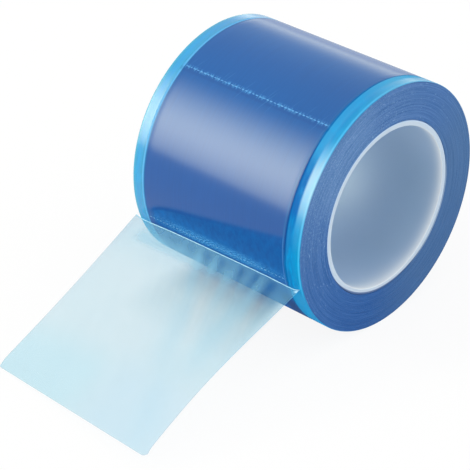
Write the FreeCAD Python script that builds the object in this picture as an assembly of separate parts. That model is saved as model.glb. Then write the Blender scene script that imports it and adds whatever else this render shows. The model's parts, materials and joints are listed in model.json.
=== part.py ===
import FreeCAD, Part
import math
import os

# A roll of perforated protective film on a plastic core, in millimetres. The roll lies on
# its side, and its first sheet is pulled loose at the front and slopes down to the floor.
# X is the roll's axis, the loose sheet runs towards -Y and Z is up. The origin is in the
# middle of the core's bore.

# The core
bore_radius = 38.75
core_wall = 2.8
core_chamfer = 0.6
core_recess = 0.1  # how far each end of the core lies inside the film's end

# The wound film
film_width = 101.6
roll_radius = 59.5
winding_gap = 0.04  # between the core and the first turn
right_strip_width = 8.5  # the edge without adhesive at +X
left_strip_width = 6.0  # the edge without adhesive at -X
strip_groove_width = 0.6
strip_groove_depth = 0.15
turn_setbacks = (0, 0.1, 0.06, 0.03, 0)  # how far each group of turns lies back, from the bore outwards

# The leading sheet. Angles are in degrees round the roll from the front, upwards.
sheet_thickness = 0.1
sheet_gap = 0.05  # between the sheet and the turn beneath it
left_perforation_angle = -16.9
right_perforation_angle = -14.3
slit_pitch = 2.1
slit_length = 1.3
slit_depth = 0.3  # how far a slit reaches into the sheet
crease_angle = -18.7  # in the middle of the film
crease_slant = 3.2  # how much higher the crease is at +X than at -X
crease_rise = 2.2  # how much it turns up at both edges
crease_rise_power = 16
middle_lift = 0.5  # how far the crease stands off the roll
edge_lift = 1.8
edge_lift_power = 4
left_reach = 145.9  # from the roll's axis to the free edge, along Y
right_reach = 154.8
right_tip_height = 7.4  # the left corner lies on the floor
left_sag = 1.2  # how far the left edge hangs below the straight line to its tip
right_hump = 3.5  # how far the right edge stands over it
right_hump_power = 1.3
ripple_height = 0.45
ripple_count = 4
ripple_fade = 0.3
corner_radius = 2.2
section_count = 25  # across the film
held_point_count = 4  # between the perforation and the crease
loose_point_count = 9  # between the crease and the free edge
loose_point_power = 1.4  # packs the points towards the crease

core_radius = bore_radius + core_wall
half_width = film_width / 2
floor_height = -roll_radius
film_bore_radius = core_radius + winding_gap
sheet_seat_radius = roll_radius + sheet_gap


def turned(outline):
    """The solid that a closed outline of (along the axis, radius) points makes round X."""
    points = [FreeCAD.Vector(x, 0, radius) for x, radius in outline]
    face = Part.Face(Part.makePolygon(points + points[:1]))
    return face.revolve(FreeCAD.Vector(0, 0, 0), FreeCAD.Vector(1, 0, 0), 360)


def core():
    """The tube, with both edges of its rims chamfered."""
    half_length = half_width - core_recess
    tube = turned([
        (-half_length, bore_radius),
        (half_length, bore_radius),
        (half_length, core_radius),
        (-half_length, core_radius),
    ])
    rims = [edge for edge in tube.Edges if isinstance(edge.Curve, Part.Circle)]
    return tube.makeChamfer(min(core_chamfer, 0.4 * core_wall), rims).Solids[0]


def end_outline():
    """The right end's outline from the bore outwards: bands of turns, each a little in or out."""
    band = (roll_radius - film_bore_radius) / len(turn_setbacks)
    outline = []
    for number, setback in enumerate(turn_setbacks):
        inner = film_bore_radius + number * band
        outline.append((half_width - setback, inner))
        outline.append((half_width - setback, inner + band))
    return outline


def groove_outline(middle):
    """A shallow V round the film, where an edge strip begins."""
    return [
        (middle + strip_groove_width / 2, roll_radius),
        (middle, roll_radius - strip_groove_depth),
        (middle - strip_groove_width / 2, roll_radius),
    ]


def wound_film():
    """All the turns as one solid, from the bore over the right end, the face and the left end."""
    right_end = end_outline()
    face = groove_outline(half_width - right_strip_width) + groove_outline(left_strip_width - half_width)
    left_end = [(-x, radius) for x, radius in reversed(right_end)]
    return turned(right_end + face + left_end)


def on_roll(degrees, radius):
    """The (y, z) place on a circle round the axis, at an angle up from the front."""
    angle = math.radians(degrees)
    return -radius * math.cos(angle), radius * math.sin(angle)


def perforation_place(across):
    """The perforation's angle and radius, where across goes from 0 at the left edge to 1."""
    degrees = left_perforation_angle + (right_perforation_angle - left_perforation_angle) * across
    return degrees, sheet_seat_radius + sheet_thickness


def crease_place(across):
    """The crease's angle and radius. It turns up and away from the roll at both edges."""
    edge = abs(2 * across - 1)
    degrees = crease_angle + crease_slant * (across - 0.5) + crease_rise * edge ** crease_rise_power
    lift = middle_lift + (edge_lift - middle_lift) * edge ** edge_lift_power
    return degrees, sheet_seat_radius + sheet_thickness + lift


def held_point(across, along):
    """The upper side between the perforation and the crease, which bulges off the roll."""
    start_degrees, start_radius = perforation_place(across)
    end_degrees, end_radius = crease_place(across)
    degrees = start_degrees + (end_degrees - start_degrees) * along
    return on_roll(degrees, start_radius + (end_radius - start_radius) * along ** 2)


def hump(across, along):
    """How far the loose sheet stands over the straight line from crease to free edge."""
    left = -left_sag * math.sin(math.pi * along)
    right = right_hump * math.sin(math.pi * along ** right_hump_power)
    fade = math.exp(-along / ripple_fade) * math.sin(math.pi * along)
    ripple = ripple_height * across * math.sin(2 * math.pi * ripple_count * across) * fade
    return left * (1 - across) + right * across + ripple


def loose_point(across, along):
    """The upper side between the crease and the free edge."""
    start_y, start_z = on_roll(*crease_place(across))
    end_y = -left_reach - (right_reach - left_reach) * across
    end_z = floor_height + sheet_thickness + right_tip_height * across
    y = start_y + (end_y - start_y) * along
    z = start_z + (end_z - start_z) * along + hump(across, along)
    return y, z


def beneath(upper, number):
    """The point one sheet thickness under the numbered one of a line that runs towards -Y or down."""
    def normal(first, second):
        y, z = second[0] - first[0], second[1] - first[1]
        length = math.hypot(y, z)
        return z / length, -y / length

    before = normal(upper[max(number - 1, 0)], upper[max(number, 1)])
    after = normal(upper[min(number, len(upper) - 2)], upper[min(number + 1, len(upper) - 1)])
    spread = 1 + before[0] * after[0] + before[1] * after[1]
    shift = sheet_thickness / spread
    y, z = upper[number]
    return y - shift * (before[0] + after[0]), z - shift * (before[1] + after[1])


def smooth_edge(places, x, steps):
    """A curve through (y, z) places in the plane at x, with its parameters given."""
    curve = Part.BSplineCurve()
    points = [FreeCAD.Vector(x, y, z) for y, z in places]
    curve.interpolate(Points=points, Parameters=steps)
    return curve.toShape()


def sheet_section(across):
    """The sheet's closed outline in one plane across the film."""
    x = -half_width + film_width * across
    held_steps = [number / (held_point_count - 1) for number in range(held_point_count)]
    loose_steps = [(number / (loose_point_count - 1)) ** loose_point_power for number in range(loose_point_count)]
    held = [held_point(across, step) for step in held_steps]
    loose = [loose_point(across, step) for step in loose_steps]
    upper = held + loose[1:]
    lower = [beneath(upper, number) for number in range(len(upper))]
    held_lower = lower[:held_point_count]
    loose_lower = lower[held_point_count - 1:]

    def corner(place):
        return FreeCAD.Vector(x, *place)

    return Part.Wire([
        smooth_edge(held, x, held_steps),
        smooth_edge(loose, x, loose_steps),
        Part.makeLine(corner(upper[-1]), corner(lower[-1])),
        smooth_edge(loose_lower[::-1], x, [1 - step for step in reversed(loose_steps)]),
        smooth_edge(held_lower[::-1], x, [1 - step for step in reversed(held_steps)]),
        Part.makeLine(corner(lower[0]), corner(upper[0])),
    ])


def slits():
    """The half of each perforation slit that lies in the sheet, as blocks to cut away."""
    count = int(film_width / slit_pitch)
    blocks = []
    for number in range(count):
        x = (number + 0.5 - count / 2) * slit_pitch
        degrees, radius = perforation_place(x / film_width + 0.5)
        block = Part.makeBox(slit_length, 4 * sheet_thickness, 2 * slit_depth)
        block.translate(FreeCAD.Vector(x - slit_length / 2, -radius - 2 * sheet_thickness, -slit_depth))
        block.rotate(FreeCAD.Vector(0, 0, 0), FreeCAD.Vector(1, 0, 0), -degrees)
        blocks.append(block)
    return blocks


def corner_trim():
    """A tall block over the sheet's outline in plan, with the free corners rounded."""
    corners = [
        (-half_width, 0),
        (-half_width, -left_reach),
        (half_width, -right_reach),
        (half_width, 0),
    ]
    points = [FreeCAD.Vector(x, y, floor_height) for x, y in corners]
    block = Part.Face(Part.makePolygon(points + points[:1])).extrude(FreeCAD.Vector(0, 0, roll_radius))
    free_corners = [
        edge for edge in block.Edges
        if edge.BoundBox.ZLength > roll_radius / 2 and edge.BoundBox.YMax < -roll_radius
    ]
    return block.makeFillet(corner_radius, free_corners)


def leading_sheet():
    """The sheet from its perforation down to the crease and out to its free edge."""
    sections = [sheet_section(number / (section_count - 1)) for number in range(section_count)]
    whole = Part.makeLoft(sections, True, False)
    return whole.common(corner_trim()).cut(slits()).Solids[0]


os.makedirs("parts", exist_ok=True)
for name, make in (("core", core), ("wound_film", wound_film), ("leading_sheet", leading_sheet)):
    solid = make()
    solid.exportStep("parts/" + name + ".step")
    box = solid.BoundBox
    print(name, solid.ShapeType, "valid", solid.isValid(), "volume", round(solid.Volume, 1),
          "x", round(box.XMin, 2), round(box.XMax, 2), "y", round(box.YMin, 2), round(box.YMax, 2),
          "z", round(box.ZMin, 2), round(box.ZMax, 2))
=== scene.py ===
import json
from functools import partial
from math import cos, exp, pi, radians, sin, sqrt

import bmesh
import bpy
import numpy as np
from mathutils import Matrix, Vector


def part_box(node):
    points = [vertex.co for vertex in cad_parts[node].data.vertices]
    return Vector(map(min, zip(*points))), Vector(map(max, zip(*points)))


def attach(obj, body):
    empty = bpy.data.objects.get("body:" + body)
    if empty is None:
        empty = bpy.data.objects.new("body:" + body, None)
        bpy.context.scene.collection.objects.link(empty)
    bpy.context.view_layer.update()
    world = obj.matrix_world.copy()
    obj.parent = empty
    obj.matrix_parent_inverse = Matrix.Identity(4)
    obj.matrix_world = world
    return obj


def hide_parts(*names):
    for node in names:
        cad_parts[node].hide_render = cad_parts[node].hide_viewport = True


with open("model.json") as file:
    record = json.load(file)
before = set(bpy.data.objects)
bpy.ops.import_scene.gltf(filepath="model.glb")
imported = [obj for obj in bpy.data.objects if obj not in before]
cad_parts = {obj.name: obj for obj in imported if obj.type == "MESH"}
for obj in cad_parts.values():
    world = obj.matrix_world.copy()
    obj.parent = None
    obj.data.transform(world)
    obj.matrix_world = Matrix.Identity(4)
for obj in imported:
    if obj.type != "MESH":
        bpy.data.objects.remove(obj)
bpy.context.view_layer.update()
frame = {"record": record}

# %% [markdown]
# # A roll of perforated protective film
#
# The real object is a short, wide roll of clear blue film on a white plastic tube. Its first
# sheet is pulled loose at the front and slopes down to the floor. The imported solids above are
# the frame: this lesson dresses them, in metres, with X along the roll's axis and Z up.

MM = 0.001
film_low, film_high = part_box("wound_film")
core_low, core_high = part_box("core")
half_width = film_high.x
roll_radius = film_high.z
core_half_length = core_high.x
core_radius = core_high.z
bore_radius = frame["record"]["mounts"][0]["dims"]["r_mm"] * MM
floor_height = film_low.z
print("film width", round(2000 * half_width, 1), "roll across", round(2000 * roll_radius, 1),
      "bore across", round(2000 * bore_radius, 1), "mm")

# %% [markdown]
# ## The camera
#
# The camera comes first. The photograph looks down on the roll's right end from the front. A long
# lens from about 0.94 m gives the same weak perspective. The camera is turned by its own three
# axes, which is exact and easy to read.

# %% Camera
camera_azimuth = radians(43.093)
camera_elevation = radians(31.243)
camera_distance = 0.9395
camera_target = Vector((-12.21, -32.65, -25.56)) * MM
focal_length = 156.37
sensor_width = 36.0


def add_object(name, data):
    """A new object in the scene, for a lens or a mesh."""
    piece = bpy.data.objects.new(name, data)
    bpy.context.scene.collection.objects.link(piece)
    return piece


def camera_axes(azimuth, elevation):
    """The directions to the camera's right, up and back towards the camera."""
    back = Vector((
        cos(elevation) * sin(azimuth),
        -cos(elevation) * cos(azimuth),
        sin(elevation),
    ))
    right = Vector((cos(azimuth), sin(azimuth), 0))
    return right, back.cross(right), back


def add_camera():
    right, up, back = camera_axes(camera_azimuth, camera_elevation)
    lens = bpy.data.cameras.new("Camera")
    lens.lens = focal_length
    lens.sensor_width = sensor_width
    camera = add_object("Camera", lens)
    turn = Matrix((right, up, back)).transposed().to_4x4()
    camera.matrix_world = Matrix.Translation(camera_target + back * camera_distance) @ turn
    bpy.context.scene.camera = camera
    return camera


camera = add_camera()
print("camera at", [round(value, 3) for value in camera.matrix_world.translation])

# %% [markdown]
# ## Helpers for node trees
#
# Materials and Geometry Nodes are both trees of nodes. One helper adds a node, sets its
# properties, and fills or links its inputs, so that each tree below reads as a list of steps.
# A ramp says where a finish begins and ends. It rises from its start to its end, also where the
# start is the larger number.

# %% Node helpers
def fill(tree, node, key, value):
    """An input of a node set to a value, or linked to another node's output."""
    if isinstance(value, bpy.types.NodeSocket):
        tree.links.new(value, node.inputs[key])
    else:
        node.inputs[key].default_value = value


def add_node(tree, kind, values=None, **settings):
    """A new node, with its properties set and its inputs filled by name or number."""
    node = tree.nodes.new(kind)
    for name, setting in settings.items():
        setattr(node, name, setting)
    for key, value in (values or {}).items():
        fill(tree, node, key, value)
    return node


def tree_of(values):
    """The tree of the first node output among some values. Every output knows its own."""
    return next(value.id_data for value in values if isinstance(value, bpy.types.NodeSocket))


def result(kind, values, number=0, **settings):
    """An output of a new node, in the tree that its values come from."""
    return add_node(tree_of(values.values()), kind, values, **settings).outputs[number]


def calculate(operation, *numbers):
    """The result of one sum."""
    return result("ShaderNodeMath", dict(enumerate(numbers)), operation=operation)


plus = partial(calculate, "ADD")
minus = partial(calculate, "SUBTRACT")
larger = partial(calculate, "MAXIMUM")
size_of = partial(calculate, "ABSOLUTE")
multiply_add = partial(calculate, "MULTIPLY_ADD")


def product(first, *factors):
    """All the given values multiplied together."""
    for factor in factors:
        first = calculate("MULTIPLY", first, factor)
    return first


def ramp(value, start, end, low=0.0, high=1.0):
    """value carried smoothly from low at start to high at end, and held outside them."""
    return result("ShaderNodeMapRange", {
        "Value": value, "From Min": start, "From Max": end, "To Min": low, "To Max": high,
    }, interpolation_type="SMOOTHSTEP")


def window(value, *limits):
    """1 where value is past all its limits. Each limit is the start and the end of a ramp."""
    return product(*(ramp(value, *limit) for limit in limits))


def stripe(value, middle, inner, outer, strength=1.0):
    """The strength where value is within inner of middle, fading to nothing at outer."""
    return ramp(size_of(minus(value, middle)), inner, outer, strength, 0.0)


def vector_of(x=0.0, y=0.0, z=0.0):
    """Three numbers joined into one place or direction."""
    return result("ShaderNodeCombineXYZ", {0: x, 1: y, 2: z})


def parts_of(vector):
    """The three numbers of a place or direction."""
    return add_node(vector.id_data, "ShaderNodeSeparateXYZ", {0: vector}).outputs


def scaled(vector, factor):
    """A place or a colour, each of its numbers times a factor."""
    return result("ShaderNodeVectorMath", {0: vector, "Scale": factor}, operation="SCALE")


print("helpers ready")

# %% [markdown]
# Noise gives the fine variation of each finish. A grain is noise that changes at its own pace
# along each of two values, so that it can be drawn out into streaks. Colours are written as a
# screen shows them, from 0 to 255. A profile is a row of colours at rising values, and a tint is
# a soft-edged patch that is laid over a colour.

# %% Finish helpers
def noise(place, scale=1.0, detail=3.0, roughness=0.5):
    """Smooth random values between 0 and 1."""
    return result("ShaderNodeTexNoise", {
        "Vector": place, "Scale": scale, "Detail": detail, "Roughness": roughness,
    })


def grain(first, second, paces, detail=3.0, roughness=0.5):
    """Noise over two values, which changes at its own pace along each."""
    place = vector_of(product(first, paces[0]), product(second, paces[1]))
    return noise(place, 1.0, detail, roughness)


def linear(colour):
    """A screen's three numbers, or one plain value, as the colour that a shader takes."""
    if isinstance(colour, float):
        return colour, colour, colour, 1.0
    if not isinstance(colour, tuple) or len(colour) != 3:
        return colour
    shares = [value / 255 for value in colour]
    return *(share / 12.92 if share <= 0.04045 else ((share + 0.055) / 1.055) ** 2.4
             for share in shares), 1.0


def blend(share, first, second):
    """The mix of two colours."""
    values = {0: share, 6: linear(first), 7: linear(second)}
    return result("ShaderNodeMix", values, 2, data_type="RGBA")


def layered(colour, *layers):
    """A colour under layers. Each has its mask and its own colour."""
    for mask, layer in layers:
        colour = blend(mask, colour, layer)
    return colour


def tinted(colour, first, second, tints):
    """A colour under tints. Each has its limits on both values, its strength and its colour."""
    for first_limits, second_limits, strength, tint in tints:
        mask = product(window(first, *first_limits), window(second, *second_limits), strength)
        colour = blend(mask, colour, tint)
    return colour


def profile(value, stops):
    """Colours at rising values, blended between neighbours. A stop is a value and a colour."""
    start, end = stops[0][0], stops[-1][0]
    share = result("ShaderNodeMapRange", {"Value": value, "From Min": start, "From Max": end})
    node = add_node(value.id_data, "ShaderNodeValToRGB", {0: share})
    bands = node.color_ramp.elements
    for number, (place, colour) in enumerate(stops):
        share = (place - start) / (end - start)
        band = bands[number] if number < 2 else bands.new(share)
        band.position = share
        band.color = linear(colour)
    return node.outputs["Color"]


def new_material(name):
    """A material with an empty tree, and that tree's output node."""
    material = bpy.data.materials.new(name)
    material.use_nodes = True
    tree = material.node_tree
    tree.nodes.clear()
    return material, tree, tree.nodes.new("ShaderNodeOutputMaterial")


def bump(height, strength, distance):
    """The normals of a relief, whose full height is the distance in metres."""
    values = {"Height": height, "Strength": strength, "Distance": distance}
    return result("ShaderNodeBump", values)


def add_skin(tree, output, values):
    """A Principled shader in the material's own tree, joined to its output."""
    skin = add_node(tree, "ShaderNodeBsdfPrincipled", values)
    tree.links.new(skin.outputs[0], output.inputs[0])


print("finish helpers ready")

# %% [markdown]
# ## Where a point lies on the roll
#
# The film's finish depends on two things: how far along the axis a point is, and at what angle
# round the roll. This group works both out from Object coordinates, in millimetres and degrees.
# Zero degrees faces the front, and angles grow upwards and over the top.

# %% The roll place group
def object_place(tree):
    """Where the shaded point lies, in metres."""
    return add_node(tree, "ShaderNodeTexCoord").outputs["Object"]


def round_axis(y, z):
    """The angle round the X axis in degrees, and the square of the distance from it."""
    turn = calculate("ARCTAN2", z, product(y, -1))
    squares = plus(product(y, y), product(z, z))
    return calculate("DEGREES", turn), squares


def make_roll_place():
    tree = bpy.data.node_groups.new("Roll place", "ShaderNodeTree")
    for socket in ("Along", "Angle", "Radius"):
        tree.interface.new_socket(socket, in_out="OUTPUT", socket_type="NodeSocketFloat")
    ends = tree.nodes.new("NodeGroupOutput")
    x, y, z = parts_of(object_place(tree))
    angle, squares = round_axis(y, z)
    fill(tree, ends, "Along", product(x, 1 / MM))
    fill(tree, ends, "Angle", angle)
    fill(tree, ends, "Radius", product(calculate("SQRT", squares), 1 / MM))
    return tree


def on_roll_place(tree):
    """The Along, Angle and Radius outputs of the group, placed in a material's tree."""
    node = tree.nodes.new("ShaderNodeGroup")
    node.node_tree = roll_place
    return node.outputs["Along"], node.outputs["Angle"], node.outputs["Radius"]


def towards(angle, degrees):
    """From 1 at an angle given in degrees to -1 on the roll's other side."""
    return calculate("COSINE", calculate("RADIANS", minus(angle, degrees)))


roll_place = make_roll_place()
print("group:", roll_place.name)

# %% [markdown]
# ## The wound film
#
# Some 570 turns of film make one solid body. Its face is smooth, but every turn's edge shows on
# the two ends, a few hundredths of a millimetre in or out. A lathe outline could hold them, but
# the rule is simple, so Geometry Nodes make it: a grid is bent into a disc, each ring gets its
# own seeded setback, and a slow wave round the disc keeps the rings from looking machined.

# %% Geometry helpers
def geometry_tree(name, **inputs):
    """A Geometry Nodes tree, its input node with named inputs of each kind, its output node."""
    tree = bpy.data.node_groups.new(name, "GeometryNodeTree")
    for kind, labels in inputs.items():
        for label in labels:
            tree.interface.new_socket(label, in_out="INPUT", socket_type="NodeSocket" + kind)
    tree.interface.new_socket("Geometry", in_out="OUTPUT", socket_type="NodeSocketGeometry")
    return tree, tree.nodes.new("NodeGroupInput"), tree.nodes.new("NodeGroupOutput")


def end_tree(tree, ends, geometry, material):
    """The last steps of a tree: real geometry, with a material on it."""
    whole = result("GeometryNodeRealizeInstances", {0: geometry})
    dressed = result("GeometryNodeSetMaterial", {"Geometry": whole, "Material": material})
    tree.links.new(dressed, ends.inputs[0])


def grown(name, tree, **values):
    """The plain mesh object that a tree makes, with its inputs set by name."""
    seed = add_object(name + "_seed", bpy.data.meshes.new(name + "_seed"))
    modifier = seed.modifiers.new("Grow", "NODES")
    modifier.node_group = tree
    items = tree.interface.items_tree
    sockets = {item.name: item.identifier for item in items if item.in_out == "INPUT"}
    for label, value in values.items():
        modifier[sockets[label.replace("_", " ").capitalize()]] = value
    bpy.context.view_layer.update()
    shaped = seed.evaluated_get(bpy.context.evaluated_depsgraph_get())
    mesh = bpy.data.meshes.new_from_object(shaped)
    bpy.data.objects.remove(seed)
    mesh.name = name
    return add_object(name, mesh)


print("geometry helpers ready")

# %% The turned ends tree
wave_size = 1.3
wave_step = 0.37  # how far the wave moves on from one ring to the next
rim_row = 0.4999  # the grid's first and last rows, which stay in place
merge_distance = 1e-6


def make_turn_ends():
    """A tree for one disc of turn edges between two radii, at Place and facing Facing along X."""
    tree, start, ends = geometry_tree(
        "Turn ends", Float=("Inner radius", "Outer radius", "Place", "Facing", "Setback"),
        Int=("Rings", "Segments", "Seed"), Material=("Material",),
    )
    given = start.outputs
    grid = result("GeometryNodeMeshGrid", {
        "Size X": 1.0, "Size Y": 1.0,
        "Vertices X": plus(given["Segments"], 1), "Vertices Y": plus(given["Rings"], 1),
    })
    x, y, _ = parts_of(add_node(tree, "GeometryNodeInputPosition").outputs[0])
    turn = product(plus(x, 0.5), 2 * pi)
    out_share = plus(y, 0.5)
    wide = minus(given["Outer radius"], given["Inner radius"])
    radius = multiply_add(wide, out_share, given["Inner radius"])
    ring = calculate("ROUND", product(out_share, given["Rings"]))
    draw = {"ID": ring, "Seed": given["Seed"]}
    chance = result("FunctionNodeRandomValue", draw, 1, data_type="FLOAT")
    cosine = calculate("COSINE", turn)
    sine = calculate("SINE", turn)
    drift = vector_of(cosine, sine, product(ring, wave_step))
    inside = calculate("LESS_THAN", size_of(y), rim_row)
    depth = product(chance, noise(drift, wave_size, 1.0), given["Setback"], inside)
    along = product(minus(given["Place"], depth), given["Facing"])
    spot = vector_of(along, product(radius, cosine), product(radius, sine))
    bent = result("GeometryNodeSetPosition", {"Geometry": grid, "Position": spot})
    values = {"Geometry": bent, "Distance": merge_distance}
    end_tree(tree, ends, result("GeometryNodeMergeByDistance", values), given["Material"])
    return tree


turn_ends = make_turn_ends()
print("turn ends tree has", len(turn_ends.nodes), "nodes")

# %% [markdown]
# ### The finish of the film's face
#
# Layer on layer of clear blue film reads as a deep blue body under a glossy skin. Along both
# edges runs a strip without adhesive: air between the turns makes it a bright cyan. Where the
# first sheet pulls on the roll, the last turn has lifted in a crescent, and the blue is stronger.

# %% Face colours
half_width_mm = half_width / MM
face_colour = (16, 88, 157)
# Some stops paint light and shade: the bright stop at -44.6 mm is a painted highlight on the left
# strip's inner shoulder, the dark stops from 41.5 to 42.1 mm are painted shade in the groove
# beside the right strip, and the bright stop at 50.0 mm is a painted highlight along the right
# rim.
face_stops = (
    (-half_width_mm, (90, 175, 205)), (-50.2, (60, 168, 205)), (-49.5, (34, 152, 204)),
    (-47.5, (34, 152, 216)), (-46.0, (38, 152, 208)), (-45.2, (30, 146, 200)),
    (-44.6, (84, 178, 234)), (-44.1, (60, 138, 200)), (-43.5, (14, 86, 152)),
    (-42.6, face_colour), (39.8, face_colour), (40.8, (18, 100, 170)), (41.5, (0, 78, 148)),
    (42.1, (0, 66, 138)), (42.7, (24, 106, 176)), (43.3, (34, 122, 190)),
    (45.0, (20, 124, 192)), (47.0, (0, 137, 202)), (49.3, (0, 144, 202)),
    (50.0, (62, 180, 234)), (50.5, (58, 165, 220)), (half_width_mm, (30, 122, 180)),
)
face_gloss = 0.72
gloss_stops = (
    (-half_width_mm, 1.0), (-45.2, 1.0), (-44.2, 0.3), (-43.6, 0.45), (-42.6, face_gloss),
    (41.4, face_gloss), (42.0, 0.04), (45.4, 0.05), (46.8, 0.55), (half_width_mm, 0.6),
)
print("face colours at", len(face_stops), "places across the roll")

# %% [markdown]
# The right strip and its groove also change round the roll, and these tints paint light and shade
# on them. Each tint below has its limits round the roll in degrees, its limits along it in
# millimetres, its strength and its colour. In order they are painted light on the strip's low
# part, painted shade beside it, painted light on the strip above the front, a painted glint on
# its outer half, painted shade on its deeper inner half, the groove's painted shade made lighter
# above and below the front, and painted light on the strip's top.

# %% Face tints
behind_limit = (176, 130)
beneath_limit = (-100, -75)
strip_limit = (41.4, 42.4)
low_limits = ((-15, -24), beneath_limit)
top_limits = ((74, 98), behind_limit)
groove_limits = ((41.1, 41.7), (42.9, 42.3))
face_tints = (
    (low_limits, (strip_limit,), 1.0, (50, 158, 216)),
    (((-22, -32), beneath_limit), ((30, 38), (42.0, 41.0)), 0.85, (42, 76, 130)),
    (((36, 50), behind_limit), ((42.1, 42.9), (47.5, 45.5)), 0.85, (58, 154, 212)),
    (((10, 30), (54, 36)), ((45.6, 47.0),), 0.6, (150, 198, 226)),
    (((8, 20), (46, 32)), ((42.0, 42.8), (46.7, 45.4)), 0.75, (0, 92, 174)),
    (((42, 56),), groove_limits, 0.5, (0, 122, 192)),
    (((4, -6),), groove_limits, 0.5, (0, 122, 192)),
    (top_limits, ((42.0, 42.6),), 0.7, (86, 176, 218)),
)
print("face has", len(face_tints), "tints")

# %% Crescent
crescent_middle = -0.8  # degrees up from the front, halfway along the roll
crescent_slant = 0.18
crescent_left_end = -43.4
crescent_left_drop = 6.0
crescent_left_fade = 5.0


def crescent_mask(along, angle):
    """1 where the last turn has lifted above the loose sheet, and the strength of its rim."""
    from_left = minus(crescent_left_end, along)
    corner = calculate("EXPONENT", product(from_left, 1 / crescent_left_fade))
    top = multiply_add(along, crescent_slant, crescent_middle)
    top = multiply_add(corner, -crescent_left_drop, top)
    height = minus(angle, top)
    between = window(along, (-44.0, -38.0), (41.6, 40.9))
    lifted = product(ramp(height, 1.6, -1.2), ramp(angle, -72, -50), between)
    rim = product(stripe(height, -0.8, 0.3, 1.4), ramp(along, -25, 15, 0.7, 0.2))
    return lifted, product(rim, between)


print("crescent ready")

# %% [markdown]
# The face's tree goes from the deep blue and its streaks to the crescent with the dust of the
# lower perforation, the strips' tints of painted light and shade, the painted highlight line and
# the patches, and last the painted shadow, ticks and hairs along the upper perforation. The
# blue's tone is painted to change round the roll, and it is painted a little darker towards the
# right end.

# %% Face material
left_perforation_angle = -16.9
right_perforation_angle = -14.3
lower_row_middle = (left_perforation_angle + right_perforation_angle) / 2
lower_row_slope = (right_perforation_angle - left_perforation_angle) / (2 * half_width_mm)
upper_row_angle = 58.0
upper_shadow_drop = 1.6  # how far the upper row's shadow lies below it, in degrees


def make_face_material():
    material, tree, output = new_material("blue_film_face")
    along, angle, _ = on_roll_place(tree)
    colour = profile(along, face_stops)
    # Painted light and shade round the roll: the blue is redder at the front, bluer above it and
    # lightest near the top.
    rising = window(angle, (8, 48), behind_limit)
    deep = blend(rising, (14, 80, 156), (0, 87, 162))
    deep = blend(window(angle, *top_limits), deep, (0, 95, 168))
    on_face = window(along, (-43.6, -42.6), (41.0, 39.8))
    colour = blend(on_face, colour, deep)
    streaks = grain(along, angle, (0.9, 0.03), 5.0, 0.65)
    # The streaks are the film's own grain. The second factor paints the face a little darker
    # towards the right end, as painted shade.
    shade = product(ramp(streaks, 0.25, 0.75, 0.95, 1.05), ramp(along, -10, 38, 1.0, 0.95))
    colour = scaled(colour, larger(shade, ramp(along, 41.0, 42.0)))

    lifted, rim = crescent_mask(along, angle)
    crinkle = ramp(grain(along, angle, (0.35, 0.25), 5.0, 0.6), 0.3, 0.7)
    lower = ramp(angle, -5, -14)
    strong = blend(lower, (0, 90, 166), (12, 104, 182))
    weak = blend(lower, (0, 78, 152), (4, 90, 166))
    row_height = minus(angle, multiply_add(along, lower_row_slope, lower_row_middle))
    dust = product(
        ramp(grain(along, angle, (1.7, 1.7), 2.0), 0.46, 0.6),
        ramp(row_height, 0.6, 4.4, 0.95, 0.0), ramp(row_height, -3.0, -1.4),
        ramp(size_of(along), 42, 12, 0.25, 1.0), lifted,
    )
    side_line = product(stripe(along, 40.8, 0.1, 0.4, 0.4), lifted)
    colour = layered(
        colour, (lifted, blend(crinkle, weak, strong)), (rim, (0, 72, 150)),
        (dust, (84, 178, 236)), (side_line, (80, 150, 215)),
    )

    # These tints paint light and shade on the right strip and its groove.
    colour = tinted(colour, angle, along, face_tints)
    # A painted highlight line along the left strip's inner edge, moved a little over the top.
    moved = product(window(angle, (15, 60), behind_limit), 0.45)
    line = stripe(along, plus(moved, -44.75), 0.1, 0.45, 0.6)
    strips = larger(ramp(along, 42.2, 43.4), ramp(along, -45.0, -45.8))
    patches = ramp(grain(along, angle, (0.3, 0.1)), 0.45, 0.7)
    patches = product(patches, strips, ramp(angle, -8, 20, 0.6, 0.25))
    colour = layered(colour, (line, (100, 186, 240)), (patches, (0, 172, 236)))

    shadow = stripe(angle, upper_row_angle - upper_shadow_drop, 0.4, 1.6)
    shadow = larger(minus(shadow, strips), 0.0)
    ticks = ramp(grain(along, angle, (1.5, 0.25), 1.0), 0.45, 0.65)
    ticks = product(ticks, stripe(angle, upper_row_angle, 0.3, 1.7, 0.55))
    leaned = multiply_add(angle, -0.35, along)
    hairs = ramp(grain(leaned, angle, (0.9, 0.04), 0.0), 0.68, 0.8)
    hairs = product(hairs, stripe(angle, upper_row_angle, 2.0, 8.0, 0.14))
    marks = product(larger(ticks, hairs), minus(1.0, strips))
    colour = layered(colour, (product(shadow, 0.3), (0, 66, 138)), (marks, (72, 158, 222)))

    gloss = profile(along, gloss_stops)
    dull_strip = product(ramp(along, *strip_limit), ramp(angle, 12, 0))
    low = window(angle, *low_limits)
    for mask, loss in ((lifted, 0.62), (low, 0.75), (dull_strip, 0.65)):
        gloss = product(gloss, multiply_add(mask, -loss, 1.0))
    relief = bump(streaks, 0.05, 0.1 * MM)
    add_skin(tree, output, {
        "Base Color": colour, "Roughness": 0.35, "Specular IOR Level": 0.0, "Normal": relief,
        "Coat Weight": gloss, "Coat Roughness": 0.2, "Coat IOR": 1.6, "Coat Normal": relief,
    })
    return material


face_material = make_face_material()
print("face material has", len(face_material.node_tree.nodes), "nodes")

# %% [markdown]
# ### The finish of the ends
#
# Seen from the side, the cut edges of the film are a satin blue with hair-fine rings. The rings
# come from noise that changes quickly along the radius and slowly round it. The end is painted
# lighter towards the top, as painted light with a painted sheen, and its slanted grain and bright
# specks show most there. Behind, it is painted greyer, as painted shade, with a pale halo there.

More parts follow.
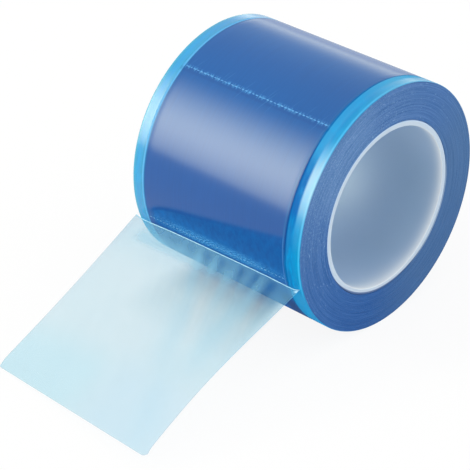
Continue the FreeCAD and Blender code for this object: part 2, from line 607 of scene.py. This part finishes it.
# %% End material
ring_pace = 2.8
ring_drift = 1.6
# The angles round the end of the painted light, of the painted sheen, and of the painted shade
# and the halo.
end_light_angle = 75
end_shine_angle = 48
end_back_angle = 205


def make_end_material():
    material, tree, output = new_material("blue_film_end")
    _, angle, radius = on_roll_place(tree)
    turn = calculate("RADIANS", angle)
    sine = product(calculate("SINE", turn), ring_drift)
    cosine = product(calculate("COSINE", turn), ring_drift)
    ringed = vector_of(product(radius, ring_pace), sine, cosine)
    rings = noise(ringed, 1.0, 6.0, 0.65)
    values = {0: ringed, 1: (0.9, 14.0, 14.0)}
    short = result("ShaderNodeVectorMath", values, operation="MULTIPLY")
    ring = ramp(rings, 0.36, 0.64)
    # Shaded and lit copies of the rings' colours. They are blended by painted light towards the
    # top and the sheen angle, and painted shade makes the end greyer behind.
    dark = blend(ring, (20, 84, 155), (48, 104, 174))
    light = blend(ring, (72, 120, 176), (114, 152, 203))
    side = towards(angle, end_light_angle)
    shine = towards(angle, end_shine_angle)
    behind = towards(angle, end_back_angle)
    share = plus(ramp(side, -1, 1, 0.0, 0.42), ramp(shine, 0.8, 1.0, 0.0, 0.4))
    painted_shade = ramp(behind, 0.1, 0.9, 0.0, 0.45)
    slanted = multiply_add(angle, 0.6, product(radius, 1.1))
    hatch = ramp(grain(slanted, angle, (1.0, 1.0), 2.0), 0.45, 0.7)
    hatch = product(hatch, ramp(shine, 0.3, 0.95, 0.0, 0.24))
    halo = product(ramp(radius, 41.8, 42.2, 0.75, 0.0), ramp(behind, 0.75, 0.98))
    specks = ramp(noise(short, 1.0, 2.0), 0.62, 0.76)
    specks = product(specks, ramp(shine, -0.5, 1.0, 0.1, 0.8))
    colour = layered(
        dark, (share, light), (painted_shade, (88, 124, 158)), (hatch, (150, 186, 220)),
        (halo, (175, 198, 224)), (specks, (140, 180, 220)),
    )
    add_skin(tree, output, {
        "Base Color": colour, "Roughness": 0.5, "Specular IOR Level": 0.15,
        "Normal": bump(rings, 1.0, 0.3 * MM),
    })
    return material


end_material = make_end_material()
print("end material has", len(end_material.node_tree.nodes), "nodes")

# %% [markdown]
# ### Building the roll
#
# The two discs of turn edges come from the tree. The face and the bore's wall are lathed in mesh
# code, because their outlines are short. Everything is joined, and shared rims are merged, so
# that the roll is one closed body.

# %% Lathe and join helpers
weld_distance = 2e-6


def smooth_outwards(shape):
    """Every face of a bmesh turned outwards and shaded smooth."""
    bmesh.ops.recalc_face_normals(shape, faces=shape.faces)
    for face in shape.faces:
        face.smooth = True


def mesh_from(name, shape):
    """A plain mesh from a finished bmesh."""
    mesh = bpy.data.meshes.new(name)
    shape.to_mesh(mesh)
    shape.free()
    return mesh


def lathe(name, outline, segments, materials):
    """A mesh turned round X from (along, radius, finish) points."""
    shape = bmesh.new()
    turns = [2 * pi * number / segments for number in range(segments)]
    rings = [
        [shape.verts.new((along, radius * cos(turn), radius * sin(turn))) for turn in turns]
        for along, radius, _ in outline
    ]
    for (_, _, finish), ring, following in zip(outline, rings, rings[1:]):
        for number in range(segments):
            after = (number + 1) % segments
            corners = (ring[number], ring[after], following[after], following[number])
            shape.faces.new(corners).material_index = finish
    mesh = mesh_from(name, shape)
    for material in materials:
        mesh.materials.append(material)
    return add_object(name, mesh)


def joined(name, pieces):
    """One smooth object from several, with shared rims merged and faces turned outwards."""
    bpy.ops.object.select_all(action="DESELECT")
    for piece in pieces:
        piece.select_set(True)
    bpy.context.view_layer.objects.active = pieces[0]
    bpy.ops.object.join()
    whole = pieces[0]
    whole.name = name
    whole.data.name = name
    shape = bmesh.new()
    shape.from_mesh(whole.data)
    bmesh.ops.remove_doubles(shape, verts=shape.verts, dist=weld_distance)
    smooth_outwards(shape)
    shape.to_mesh(whole.data)
    shape.free()
    return whole


print("lathe ready")

# %% The film roll
roll_segments = 256
ring_count = 84
ring_setback = 0.16 * MM
rim_round = 0.25 * MM
film_bore_radius = core_radius + 0.04 * MM

# How far the face lies under the roll's full radius, from the left rim to the right one
face_depths = (
    (-50.8, 0.25), (-50.7, 0.1), (-50.5, 0.02), (-50.3, 0.0), (-50.0, 0.0), (-45.5, 0.0),
    (-45.2, 0.0), (-44.9, 0.02), (-44.5, 0.12), (-44.2, 0.15), (-43.0, 0.09), (-41.5, 0.0),
    (-40.5, 0.0), (0.0, 0.0), (39.0, 0.0), (39.8, 0.0), (41.2, 0.09), (42.1, 0.15),
    (42.4, 0.12), (42.8, 0.02), (43.2, 0.0), (43.6, 0.0), (50.0, 0.0), (50.3, 0.0),
    (50.5, 0.02), (50.7, 0.1), (50.8, 0.25),
)


def make_film_roll():
    face_outline = [(along * MM, roll_radius - depth * MM, 0) for along, depth in face_depths]
    bore_outline = [(-half_width, film_bore_radius, 1), (half_width, film_bore_radius, 1)]
    finishes = (face_material, end_material)
    pieces = [lathe("film_face", face_outline, roll_segments, finishes),
              lathe("film_bore", bore_outline, roll_segments, finishes)]
    for facing, seed in ((1.0, 3), (-1.0, 8)):
        pieces.append(grown(
            "film_disc", turn_ends, Inner_radius=film_bore_radius,
            Outer_radius=roll_radius - rim_round, Place=half_width, Facing=facing,
            Rings=ring_count, Segments=roll_segments, Setback=ring_setback,
            Seed=seed, Material=end_material,
        ))
    return joined("film_roll", pieces)


film_roll = make_film_roll()
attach(film_roll, "root")
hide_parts("wound_film")
print("film roll has", len(film_roll.data.polygons), "faces and",
      len(film_roll.data.materials), "finishes")

# %% [markdown]
# ## The core
#
# The core is a plain white plastic tube, cut square with lightly broken edges. Its colour carries
# painted light and shade, standing in for light that enters the milky plastic at the cut end. The
# rim and the first few millimetres of the bore are painted nearly white, reaching deepest at the
# lit lower side, and the rest of the bore's wall is painted a varied blue-grey shade. The rim's
# outer edge carries a painted highlight, and at the bottom a sliver of it is painted dark blue.

# %% Core material
# How far the rim's painted light reaches into the bore, how much further on its lit side and how
# fast it fades. Then the angles of that lit side, of the wall's darkest painted shade and of the
# dark sliver.
glow_depth = 3.1  # millimetres from the rim
lit_extra_depth = 1.9
glow_power = 1.5
lit_angle = -60
wall_angle = 218
dark_sliver_angle = -80
dark_sliver_reach = 1.1


def make_core_material():
    material, tree, output = new_material("white_core_plastic")
    along, angle, radius = on_roll_place(tree)
    depth = minus(core_half_length / MM, size_of(along))
    # Painted light: the rim's white reaches a few millimetres into the bore, furthest on the
    # lower side.
    lit = ramp(towards(angle, lit_angle), 0.3, 0.95)
    fade = multiply_add(lit, lit_extra_depth, glow_depth)
    inward = calculate("POWER", calculate("DIVIDE", larger(depth, 0.0), fade), glow_power)
    glow = calculate("EXPONENT", product(inward, -1))
    place = object_place(tree)
    cloud = noise(place, 60.0)
    # Painted shade: the wall is blue-grey, paler deep inside and away from one side.
    pale = ramp(towards(angle, wall_angle), 0.4, 0.95, 0.7, 0.0)
    wall = layered((155, 182, 208), (cloud, (163, 188, 212)), (pale, (180, 202, 226)),
                   (ramp(depth, 14, 50), (184, 206, 230)))
    rim = layered((190, 208, 226), (cloud, (198, 215, 232)),
                  (ramp(radius, 39.2, 38.8), (242, 248, 250)))
    # A painted highlight along the rim's outer edge.
    edge = product(stripe(radius, 41.2, 0.2, 0.5, 0.6), glow)
    # A sliver of the rim's outer edge is painted dark blue at the bottom.
    dark_sliver = ramp(towards(angle, dark_sliver_angle), 0.55, 1.0)
    dark_sliver = multiply_add(dark_sliver, dark_sliver_reach, radius)
    colour = layered(wall, (glow, rim), (edge, (196, 226, 255)),
                     (ramp(dark_sliver, 41.2, 41.7), (70, 104, 156)))
    relief = bump(noise(place, 900.0, 2.0), 0.05, 0.1 * MM)
    values = {"Base Color": colour, "Roughness": 0.42, "IOR": 1.48, "Normal": relief}
    add_skin(tree, output, values)
    return material


core_material = make_core_material()
print("core material ready")

# %% Core tube
rim_radius = 0.6 * MM
rim_steps = 5


def rounded_corner(along, radius, along_side, radius_side):
    """Points of a quarter round at a rim's corner, from the end face to the wall."""
    middle_along = along - along_side * rim_radius
    middle_radius = radius - radius_side * rim_radius
    turns = [pi / 2 * step / rim_steps for step in range(rim_steps + 1)]
    return [(middle_along + along_side * rim_radius * cos(turn),
             middle_radius + radius_side * rim_radius * sin(turn), 0) for turn in turns]


def make_core_tube():
    outline = rounded_corner(core_half_length, core_radius, 1, 1)
    outline += rounded_corner(-core_half_length, core_radius, -1, 1)[::-1]
    outline += rounded_corner(-core_half_length, bore_radius, -1, -1)
    outline += rounded_corner(core_half_length, bore_radius, 1, -1)[::-1]
    outline.append(outline[0])
    return joined("core_tube", [lathe("core_tube", outline, roll_segments, (core_material,))])


core_tube = make_core_tube()
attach(core_tube, "root")
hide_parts("core")
print("core tube has", len(core_tube.data.polygons), "faces")

# %% [markdown]
# ## The loose sheet
#
# The first sheet leaves the roll at a sharp crease just under its perforation, then slopes down
# to the floor with a slight twist: its left corner lies on the floor and its right one hovers.
# Film this thin would need a fine cloth simulation and would still not follow the photograph, so
# the sheet is drawn by nearly the same rule as its solid. Its crease slants a little more, and a
# rounded fold and pull folds are added.

# %% Sheet sizes
film_thickness = 0.1 * MM
seat_radius = roll_radius + 0.15 * MM
crease_angle = -18.5
crease_slant = 3.6
crease_rise = 2.2
crease_rise_power = 16
middle_lift = 0.5 * MM
edge_lift = 1.8 * MM
edge_lift_power = 4
left_reach = 145.9 * MM
right_reach = 154.8 * MM
right_tip_height = 7.4 * MM
left_sag = 1.2 * MM
right_hump = 3.5 * MM
right_hump_power = 1.3
ripple_height = 0.45 * MM
ripple_count = 4
ripple_fade = 0.3
fold_reach = 0.38 * MM
corner_radius = 2.2 * MM


def on_roll(degrees, radius):
    """The (y, z) place at an angle up from the roll's front."""
    angle = radians(degrees)
    return np.array((-radius * cos(angle), radius * sin(angle)))


def perforation_angle(across):
    """The lower perforation's angle, where across goes from 0 at the left edge to 1."""
    return left_perforation_angle + (right_perforation_angle - left_perforation_angle) * across


def crease_place(across):
    """The crease's angle and radius. It turns up and away from the roll at both edges."""
    edge = abs(2 * across - 1)
    degrees = (crease_angle + crease_slant * (across - 0.5)
               + crease_rise * edge ** crease_rise_power)
    lift = middle_lift + (edge_lift - middle_lift) * edge ** edge_lift_power
    return degrees, seat_radius + lift


def held_point(across, along):
    """A place between the perforation and the crease, which bulges off the roll."""
    start_degrees = perforation_angle(across)
    end_degrees, end_radius = crease_place(across)
    degrees = start_degrees + (end_degrees - start_degrees) * along
    return on_roll(degrees, seat_radius + (end_radius - seat_radius) * along ** 2)


print("sheet sizes ready")

# %% [markdown]
# ### Pull folds
#
# Where the sheet hangs from the crease, it gathers into short folds that slant to the right and
# fade out. Each fold is a valley with a ridge beside it, so one short list describes them all:
# where a fold starts across the sheet, its slant, its width, its depth and how far it reaches.

# %% Fold heights
pull_folds = (
    (0.14, 0.45, 0.024, 0.25, 0.10),
    (0.25, 0.50, 0.024, 0.30, 0.12),
    (0.355, 0.60, 0.022, 0.45, 0.18),
    (0.450, 0.64, 0.023, 1.00, 0.50),
    (0.543, 0.48, 0.017, 0.90, 0.34),
    (0.660, 0.40, 0.017, 0.85, 0.28),
    (0.755, 0.26, 0.018, 0.75, 0.32),
    (0.785, 0.14, 0.026, -0.45, 0.60),
    (0.845, 0.20, 0.024, 0.90, 0.50),
)
fold_depth = 0.3 * MM
fold_onset = 0.012  # how soon below the crease the folds begin
ridge_share = 0.75
ridge_place = 1.9  # beside the valley, in fold widths


def pull_fold(across, along):
    """From about -1 in the bottom of a fold to 1 on its ridge."""
    total = 0.0
    for start, slant, spread, strength, reach in pull_folds:
        away = (across - start - slant * along) / (spread * (1 + 1.5 * along / reach))
        valley = ridge_share * exp(-(away + ridge_place) ** 2) - exp(-away * away)
        total += strength * valley * exp(-(along / reach) ** 1.5)
    return total * (1 - exp(-along / fold_onset))


def loose_point(across, along):
    """A place between the crease and the free edge."""
    start = on_roll(*crease_place(across))
    end = np.array((
        -left_reach - (right_reach - left_reach) * across,
        floor_height + film_thickness + right_tip_height * across,
    ))
    left = -left_sag * sin(pi * along)
    right = right_hump * sin(pi * along ** right_hump_power)
    fade = exp(-along / ripple_fade) * sin(pi * along)
    ripple = ripple_height * across * sin(2 * pi * ripple_count * across) * fade
    fold = fold_depth * pull_fold(across, along)
    y, z = start + (end - start) * along
    return np.array((y, z + left * (1 - across) + right * across + ripple + fold))


def length_of(line):
    return sum(float(np.linalg.norm(after - before)) for before, after in zip(line, line[1:]))


middle_length = length_of([loose_point(0.5, step / 50) for step in range(51)])
print("loose sheet is", round(middle_length / MM, 1), "mm long in the middle")

# %% [markdown]
# ### The sheet's mesh
#
# The sheet is a grid of lines that run down it: a few points above the crease, a curve round the
# fold, and many points below it. Three values are kept at every point for the finish: how near
# it is to the crease, whether it lies in a fold, and how firmly the roll still holds it.

# %% Sheet mesh
across_count = 181
held_count = 6
fold_count = 9
loose_count = 100
bend_start = 0.88  # where the fold begins, on the way from the perforation to the crease
# The crease's whiter spot at the right edge is partly whitening and partly a painted highlight.
spot_width = 0.035  # the whitened spot where the crease meets the right edge
spot_length = 0.02


def sheet_line(across):
    """Points down the sheet at one place across, each with its crease, fold and held values."""
    fold_share = fold_reach / middle_length
    held = [(held_point(across, bend_start * step / held_count), 0.0, 0.0, 1.0)
            for step in range(held_count)]
    before = held_point(across, bend_start)
    middle = on_roll(*crease_place(across))
    after = loose_point(across, fold_share)
    fold = []
    for step in range(fold_count):
        share = step / (fold_count - 1)
        spot = before * (1 - share) ** 2 + middle * 2 * share * (1 - share) + after * share ** 2
        fold.append((spot, sin(pi * share) ** 2, 0.0, max(0.0, 1 - 2 * share)))
    end_spot = exp(-((1 - across) / spot_width) ** 2)
    loose = []
    for step in range(1, loose_count + 1):
        share = fold_share + (1 - fold_share) * (step / loose_count) ** 1.25
        crease = end_spot * exp(-(share / spot_length) ** 2)
        loose.append((loose_point(across, share), crease, pull_fold(across, share), 0.0))
    return held + fold + loose


def round_corner(across, y, end_y):
    """y pulled in from the free edge near a corner, so that the corner is round."""
    gap = min(across, 1 - across) * 2 * half_width
    inner = end_y + 2 * corner_radius
    if gap >= corner_radius or y > inner:
        return y
    pull = corner_radius - sqrt(corner_radius ** 2 - (corner_radius - gap) ** 2)
    return inner - (inner - y) * (1 - pull / (2 * corner_radius))


def make_loose_sheet():
    shape = bmesh.new()
    layers = [shape.verts.layers.float.new(name) for name in ("crease", "fold", "held")]
    flat = {}
    rows = []
    for column in range(across_count):
        share = column / (across_count - 1)
        across = 0.75 * share + 0.125 * (1 - cos(pi * share))
        x = -half_width + 2 * half_width * across
        line = sheet_line(across)
        row = []
        travelled = 0.0
        for number, (spot, *values) in enumerate(line):
            vert = shape.verts.new((x, round_corner(across, spot[0], line[-1][0][0]), spot[1]))
            for layer, value in zip(layers, values):
                vert[layer] = value
            if number:
                travelled += float(np.linalg.norm(spot - line[number - 1][0]))
            flat[vert] = (x / MM, travelled / MM)
            row.append(vert)
        rows.append(row)
    unwrapped = shape.loops.layers.uv.new("flat")
    for left, right in zip(rows, rows[1:]):
        for number in range(len(left) - 1):
            corners = (left[number], left[number + 1], right[number + 1], right[number])
            face = shape.faces.new(corners)
            face.smooth = True
            for loop in face.loops:
                loop[unwrapped].uv = flat[loop.vert]
    return add_object("loose_sheet", mesh_from("loose_sheet", shape))


loose_sheet = make_loose_sheet()
faces_up = sum(polygon.normal.z for polygon in loose_sheet.data.polygons) > 0
print("loose sheet has", len(loose_sheet.data.polygons), "faces, facing",
      "up" if faces_up else "down")

# %% [markdown]
# ### The finish of one layer of film
#
# One layer lets most light through, with a faint blue tint and a slight milky haze. A Transparent
# shader carries the tint, and a Principled one the haze and the shine. The three vertex values
# steer the haze. Creased film is whiter, partly real whitening and partly a painted highlight on
# the bend. The folds' ridges get more haze and their bottoms less, as painted light and shade.
# The strip that the roll still holds doesn't show. The tints have their limits across the film
# and down it, in millimetres, and the last one is painted shade.

# %% Clear film material
haze_share = 0.18
least_haze = 0.03
crease_haze = 0.95
film_tints = (
    (((18, -12),), ((62, 86),), 1.0, (0.878, 0.948, 0.962, 1)),
    (((-8, 20),), ((58, 82),), 1.0, (0.895, 0.938, 0.962, 1)),
    # A greyer, greener tint on the right half near the crease: painted shade where the sheet
    # hangs over the shade under the roll.
    (((0, 34),), ((82, 50),), 1.0, (0.862, 0.926, 0.945, 1)),
)


def vertex_value(tree, name):
    """A value that is kept at every point of a mesh."""
    return add_node(tree, "ShaderNodeAttribute", attribute_name=name).outputs["Fac"]


def film_haze(tree, flat, crease):
    """How milky the film is at a place on the flat sheet."""
    across, along, _ = parts_of(flat)
    slanted = multiply_add(along, -0.5, across)
    streaks = grain(slanted, along, (0.07, 0.015))
    cloud = noise(scaled(flat, 0.035), 1.0, 2.0)
    rightward = product(ramp(across, -15, 40, 0.07, -0.03), ramp(along, 30, 8))
    over_roll = product(ramp(across, -47, -39), ramp(across, 0, 32, 1.0, 0.3))
    growing = product(ramp(along, 6.0, 11.0, 0.07, 0.19), ramp(along, 17, 12))
    drawn = ramp(grain(slanted, along, (0.22, 0.02), 2.0), 0.3, 0.7, -0.03, 0.03)
    drawn = product(drawn, ramp(along, 7, 16, 0.3, 1.0), ramp(along, 60, 16))
    haze = multiply_add(streaks, 0.05, haze_share - 0.045)
    # The fold value paints light and shade on the folds: more haze on their ridges, less in their
    # bottoms.
    for value, strength in (
        (cloud, 0.04), (vertex_value(tree, "fold"), 0.13), (rightward, 1.0),
        (over_roll, growing), (drawn, ramp(across, -30, 10)),
    ):
        haze = multiply_add(value, strength, haze)
    haze = larger(haze, least_haze)
    # Along the crease the film is whiter: partly real whitening, partly a painted highlight on
    # the bend.
    return larger(haze, product(crease, crease_haze))


def make_clear_film_material():
    material, tree, output = new_material("clear_blue_film")
    flat = add_node(tree, "ShaderNodeUVMap", uv_map="flat").outputs[0]
    across, along, _ = parts_of(flat)
    held = vertex_value(tree, "held")
    crease = vertex_value(tree, "crease")
    # Where the crease meets the right edge, the film is painted whiter still: partly whitening,
    # partly a painted highlight.
    pinched = product(ramp(crease, 0.2, 0.6), ramp(across, 45, 50))
    crease = larger(crease, pinched)
    free = minus(1.0, held)
    haze = product(film_haze(tree, flat, crease), free)
    milk_colour = blend(pinched, (172, 232, 255), (205, 238, 255))
    milk_colour = blend(crease, (150, 212, 238), milk_colour)
    tint = tinted((0.93, 0.95, 0.952, 1), across, along, film_tints)
    tint = blend(held, tint, (0.97, 0.99, 1.0, 1))
    clear = result("ShaderNodeBsdfTransparent", {"Color": tint})
    values = {"Base Color": milk_colour, "Roughness": 0.3, "IOR": 1.45}
    milk = result("ShaderNodeBsdfPrincipled", values)
    body = result("ShaderNodeMixShader", {0: haze, 1: clear, 2: milk})
    tree.links.new(body, output.inputs[0])
    return material


def make_cut_edge_material():
    """The sheet's thin cut edge: a greyer line than its faces, and cyan up at the crease."""
    material, tree, output = new_material("film_cut_edge")
    place = object_place(tree)
    cloud = noise(place, 400.0, 2.0)
    colour = blend(cloud, (165, 185, 205), (200, 215, 228))
    upward = ramp(parts_of(place)[2], -0.04, -0.026)
    colour = blend(upward, colour, (120, 200, 244))
    free = minus(1.0, vertex_value(tree, "held"))
    add_skin(tree, output, {"Base Color": colour, "Roughness": 0.4, "IOR": 1.45, "Alpha": free})
    return material


clear_film = make_clear_film_material()
cut_edge = make_cut_edge_material()
for finish in (clear_film, cut_edge):
    loose_sheet.data.materials.append(finish)
print("clear film material has", len(clear_film.node_tree.nodes), "nodes")

# %% Thickness and declaration
thicken = loose_sheet.modifiers.new("Thickness", "SOLIDIFY")
thicken.thickness = film_thickness
thicken.offset = -1 if faces_up else 1
thicken.material_offset_rim = 1
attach(loose_sheet, "root")
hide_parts("leading_sheet")

# %% [markdown]
# ## The perforations
#
# A toothed blade cuts a row of short slits across the film, so that a sheet can be torn off. Two
# rows show: one near the top, under the last turn, and one just above the crease. Each slit is a
# tiny lens-shaped lip. Geometry Nodes set one lip at every pitch along a line across the roll.

# %% Slit lip
lip_steps = 10
lip_levels = ((1.0, 0.0), (0.75, 0.62), (0.4, 0.92))  # shares of the lip's size and height


def make_slit_lip(length, width, height):
    """A low lens, longer along X, with its base at zero and its crown towards -Y."""
    shape = bmesh.new()
    turns = [2 * pi * step / lip_steps for step in range(lip_steps)]
    rings = [
        [shape.verts.new((size * length / 2 * cos(turn), -rise * height,
                          size * width / 2 * sin(turn))) for turn in turns]
        for size, rise in lip_levels
    ]
    crown = shape.verts.new((0, -height, 0))
    for lower, upper in zip(rings, rings[1:]):
        for step in range(lip_steps):
            after = (step + 1) % lip_steps
            shape.faces.new((lower[step], lower[after], upper[after], upper[step]))
    for step in range(lip_steps):
        shape.faces.new((rings[-1][step], rings[-1][(step + 1) % lip_steps], crown))
    shape.faces.new(rings[0][::-1])
    smooth_outwards(shape)
    return bpy.data.objects.new("slit_lip", mesh_from("slit_lip", shape))


print("slit lip ready")

# %% Perforation tree
smallest_lip = (0.75, 0.7, 0.7)
largest_lip = (1.1, 1.2, 1.3)


def make_perforation_row():
    """A tree for one row of lips, from the left angle to the right one round the roll."""
    tree, start, ends = geometry_tree(
        "Perforation row", Object=("Lip",), Int=("Count", "Seed"), Material=("Material",),
        Float=("Pitch", "Middle", "Radius", "Left angle", "Right angle"),
    )
    given = start.outputs
    line = result("GeometryNodeMeshLine", {"Count": given["Count"]})
    number = add_node(tree, "GeometryNodeInputIndex").outputs[0]
    last = minus(given["Count"], 1)
    share = calculate("DIVIDE", number, last)
    from_middle = minus(number, product(last, 0.5))
    along = multiply_add(from_middle, given["Pitch"], given["Middle"])
    swing = minus(given["Right angle"], given["Left angle"])
    angle = multiply_add(swing, share, given["Left angle"])
    y = product(calculate("COSINE", angle), given["Radius"], -1)
    z = product(calculate("SINE", angle), given["Radius"])
    values = {"Geometry": line, "Position": vector_of(along, y, z)}
    placed = result("GeometryNodeSetPosition", values)
    size = result("FunctionNodeRandomValue", {
        "Min": smallest_lip, "Max": largest_lip, "Seed": given["Seed"],
    }, data_type="FLOAT_VECTOR")
    row = result("GeometryNodeInstanceOnPoints", {
        "Points": placed, "Scale": size, "Rotation": vector_of(product(angle, -1)),
        "Instance": result("GeometryNodeObjectInfo", {"Object": given["Lip"]}, "Geometry"),
    })
    end_tree(tree, ends, row, given["Material"])
    return tree


perforation_row = make_perforation_row()
print("perforation tree has", len(perforation_row.nodes), "nodes")

# %% Perforation rows
slit_pitch = 2.1 * MM
row_left = -44.0 * MM
row_right = 41.8 * MM
lip_height = 0.08 * MM
lip_sink = 0.02 * MM  # how far a lip's base lies in the film


def make_slit_material(name, dark, light):
    material, tree, output = new_material(name)
    colour = blend(noise(object_place(tree), 500.0, 1.0), dark, light)
    add_skin(tree, output, {"Base Color": colour, "Roughness": 0.25, "IOR": 1.45})
    return material


def add_row(name, lip, radius, left_angle, right_angle, seed, material):
    count = int((row_right - row_left) / slit_pitch)
    row = grown(
        name, perforation_row, Lip=lip, Count=count, Pitch=slit_pitch,
        Middle=(row_left + row_right) / 2, Radius=radius - lip_sink,
        Left_angle=radians(left_angle), Right_angle=radians(right_angle),
        Seed=seed, Material=material,
    )
    bpy.data.objects.remove(lip)
    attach(row, "root")
    print(row.name, "has", len(row.data.polygons), "faces")


left_row_angle, right_row_angle = [
    perforation_angle((place + half_width) / (2 * half_width)) for place in (row_left, row_right)
]
add_row("upper_perforation", make_slit_lip(1.9 * MM, 0.6 * MM, lip_height), roll_radius,
        upper_row_angle, upper_row_angle, 4,
        make_slit_material("upper_slit_lips", (62, 140, 210), (104, 178, 236)))
add_row("lower_perforation", make_slit_lip(1.2 * MM, 0.5 * MM, lip_height), seat_radius,
        left_row_angle, right_row_angle, 9,
        make_slit_material("lower_slit_lips", (60, 150, 215), (150, 215, 250)))

# %% [markdown]
# ## The studio
#
# The photograph was taken on white, under soft light. The broad pale band along the roll mirrors
# a long soft panel that stands parallel to its axis, low at the front and to the left. The world
# holds that panel as a smooth bright patch, together with a dimmer left and a brighter backdrop,
# so the mirrored band follows the roll's curve only and stays even from end to end.
#
# Camera, glossy and transmission rays see plain white where the other rays see the soft levels.
# The panel and the backdrop's light are added for every ray but the camera's.

# %% World
left_level = 0.4
right_level = 0.8
top_level = 0.5
panel_level = 8.4
panel_heights = ((-24, 29), (77, 27))  # degrees up from the front
panel_sides = ((-1.1, -0.9), (-0.4, -0.6))  # how far along X, for each unit away from the axis
backdrop_level = 2.3
panel_colour = (1.0, 1.0, 0.76, 1.0)
open_colour = (0.97, 0.97, 1.0, 1.0)


def ray_kinds(tree):
    """1 for camera rays, and 1 for rays that have to see a plain white background."""
    rays = add_node(tree, "ShaderNodeLightPath").outputs
    seen = larger(rays["Is Camera Ray"], rays["Is Glossy Ray"])
    return rays["Is Camera Ray"], larger(seen, rays["Is Transmission Ray"])


def background(tree, colour, strength):
    values = {"Color": colour, "Strength": strength}
    return add_node(tree, "ShaderNodeBackground", values).outputs[0]


def make_world():
    world = bpy.data.worlds.new("studio")
    world.use_nodes = True
    tree = world.node_tree
    tree.nodes.clear()
    x, y, z = parts_of(add_node(tree, "ShaderNodeTexCoord").outputs["Generated"])
    height, squares = round_axis(y, z)
    side = calculate("DIVIDE", x, calculate("SQRT", larger(squares, 1e-4)))
    panel = product(window(height, *panel_heights), window(side, *panel_sides), panel_level)
    panel = plus(panel, ramp(height, 152, 194, 0, backdrop_level))
    level = plus(ramp(x, -0.3, 0.4, left_level, right_level), ramp(z, 0.4, 0.9, 0, top_level))
    by_camera, seen = ray_kinds(tree)
    panel = product(panel, minus(1.0, by_camera))
    open_side = result("ShaderNodeMixShader", {
        0: seen, 1: background(tree, open_colour, level), 2: background(tree, (1, 1, 1, 1), 1.0),
    })
    values = {0: background(tree, panel_colour, panel), 1: open_side}
    add_node(tree, "ShaderNodeOutputWorld", {0: result("ShaderNodeAddShader", values)})
    bpy.context.scene.world = world


make_world()
print("world ready")

# %% [markdown]
# The floor is white paper. For camera, glossy and transmission rays, a glow lifts it towards pure
# white, so the page looks clean but a soft shadow remains. Under the roll, the glow's colour
# carries a painted shadow, dark blue-grey under the roll and fading in front of it, because the
# clear sheet shows that patch of floor, and it is in deep shade there.

# %% Floor
glow_share = 0.9
# The painted shadow under the roll: its colours at places from front to back in millimetres, its
# left edge, and its right edge with its slant.
shade_stops = (
    (-78, (1.0, 1.0, 1.0, 1)), (-61, (0.86, 0.89, 0.90, 1)), (-48, (0.76, 0.79, 0.80, 1)),
    (-41, (0.62, 0.67, 0.70, 1)), (-35, (0.49, 0.54, 0.59, 1)), (-30, (0.41, 0.46, 0.53, 1)),
    (-26, (0.27, 0.32, 0.43, 1)), (-21, (0.10, 0.15, 0.31, 1)), (20, (0.10, 0.15, 0.31, 1)),
    (60, (1.0, 1.0, 1.0, 1)),
)
shade_left = (-0.055, -0.036)
shade_right = (0.005, -0.003)
shade_slant = 0.264


def make_floor():
    material, tree, output = new_material("white_floor")
    x, y, _ = parts_of(object_place(tree))
    # A painted shadow in the glow's colour under the roll, reaching a little further forward at
    # the left.
    nearer = plus(y, ramp(x, -0.02, -0.05, 0.0, 0.0005))
    shade = profile(product(nearer, 1 / MM), shade_stops)
    slanted = multiply_add(y, shade_slant, x)
    under = product(ramp(x, *shade_left), ramp(slanted, *shade_right))
    glow_colour = blend(under, (1, 1, 1, 1), shade)
    _, seen = ray_kinds(tree)
    paper = add_node(tree, "ShaderNodeBsdfDiffuse", {"Color": (0.95, 0.95, 0.95, 1)})
    glow = result("ShaderNodeEmission", {"Color": glow_colour, "Strength": 1.0})
    values = {0: product(seen, glow_share), 1: paper.outputs[0], 2: glow}
    tree.links.new(result("ShaderNodeMixShader", values), output.inputs[0])
    bpy.ops.mesh.primitive_plane_add(size=8.0, location=(0, 0, floor_height))
    floor = bpy.context.active_object
    floor.name = "floor"
    floor.data.materials.append(material)


make_floor()
bpy.context.scene.view_settings.view_transform = "Standard"
print("floor ready")

# %% [markdown]
# ## The last update
#
# The last step updates the view layer.


bpy.context.view_layer.update()
